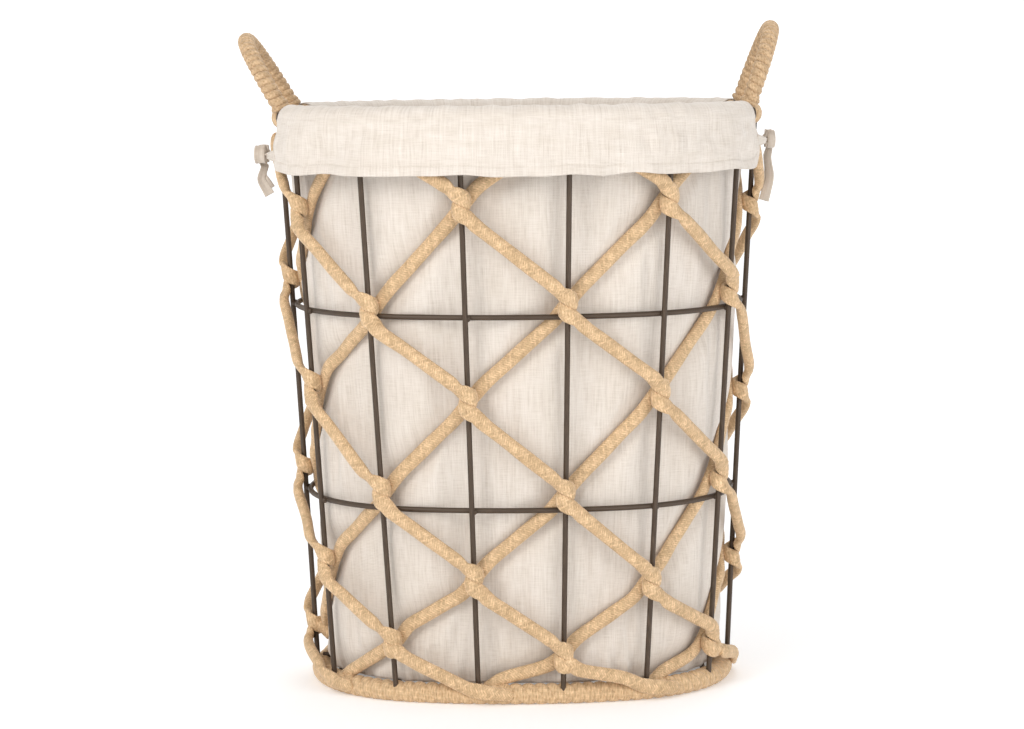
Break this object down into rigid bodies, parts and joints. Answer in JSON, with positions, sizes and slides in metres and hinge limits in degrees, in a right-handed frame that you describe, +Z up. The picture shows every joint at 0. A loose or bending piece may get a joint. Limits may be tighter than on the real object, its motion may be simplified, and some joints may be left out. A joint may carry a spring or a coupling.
{
  "type": "laundry basket",
  "caption": "Oval wire-frame laundry basket with a knotted rope net, two swinging rope-wound handles and a tied-in linen liner.",
  "frame": {"origin": "middle of the footprint, on the surface that the basket stands on", "axes": "+Z up; +X along the long side, from one handle to the other; -Y is the side seen in front"},
  "size_m": [0.5114, 0.4332, 0.6267],
  "materials": {
    "frame_wire": "satin dark bronze paint on steel wire",
    "binding_rope": "wound jute-coloured cord",
    "net_rope": "braided jute-coloured rope",
    "handle_cord": "wound braided cord",
    "linen": "plain woven linen, matt",
    "ribbon": "folded linen tape"
  },
  "bodies": {
    "basket": {"base_ring": "frame_wire", "lower_ring": "frame_wire", "middle_ring": "frame_wire", "upper_ring": "frame_wire", "rim_wire": "frame_wire", "upright_01": "frame_wire", "upright_02": "frame_wire", "upright_03": "frame_wire", "upright_04": "frame_wire", "upright_05": "frame_wire", "upright_06": "frame_wire", "upright_07": "frame_wire", "upright_08": "frame_wire", "upright_09": "frame_wire", "upright_10": "frame_wire", "upright_11": "frame_wire", "upright_12": "frame_wire", "upright_13": "frame_wire", "upright_14": "frame_wire", "floor_bar_1": "frame_wire", "floor_bar_2": "frame_wire", "floor_bar_3": "frame_wire", "floor_bar_4": "frame_wire", "floor_bar_5": "frame_wire", "floor_bar_6": "frame_wire", "floor_spine": "frame_wire", "base_wrap": "binding_rope", "rim_wrap_front": "binding_rope", "rim_wrap_back": "binding_rope", "rim_wrap_left": "binding_rope", "rim_wrap_right": "binding_rope", "net_rope_s_1": "net_rope", "net_rope_s_2": "net_rope", "net_rope_s_3": "net_rope", "net_rope_s_4": "net_rope", "net_rope_s_5": "net_rope", "net_rope_s_6": "net_rope", "net_rope_s_7": "net_rope", "net_rope_z_1": "net_rope", "net_rope_z_2": "net_rope", "net_rope_z_3": "net_rope", "net_rope_z_4": "net_rope", "net_rope_z_5": "net_rope", "net_rope_z_6": "net_rope", "net_rope_z_7": "net_rope", "liner_wall": "linen", "liner_bottom": "linen", "liner_cuff_front": "linen", "liner_cuff_back": "linen", "tie_left": "ribbon", "tie_right": "ribbon"},
    "handle_left": {"handle_core_left": "frame_wire", "handle_wrap_left": "handle_cord", "handle_lashing_left": "handle_cord"},
    "handle_right": {"handle_core_right": "frame_wire", "handle_wrap_right": "handle_cord", "handle_lashing_right": "handle_cord"}
  },
  "joints": [
    {"name": "handle_left_swing", "type": "hinge", "parent": "basket", "child": "handle_left", "pos_m": [-0.21289, 0, 0.54], "axis": [0, -1, 0], "range_deg": [-105.5, 49.5]},
    {"name": "handle_right_swing", "type": "hinge", "parent": "basket", "child": "handle_right", "pos_m": [0.21289, 0, 0.54], "axis": [0, 1, 0], "range_deg": [-94.5, 60.5]}
  ]
}
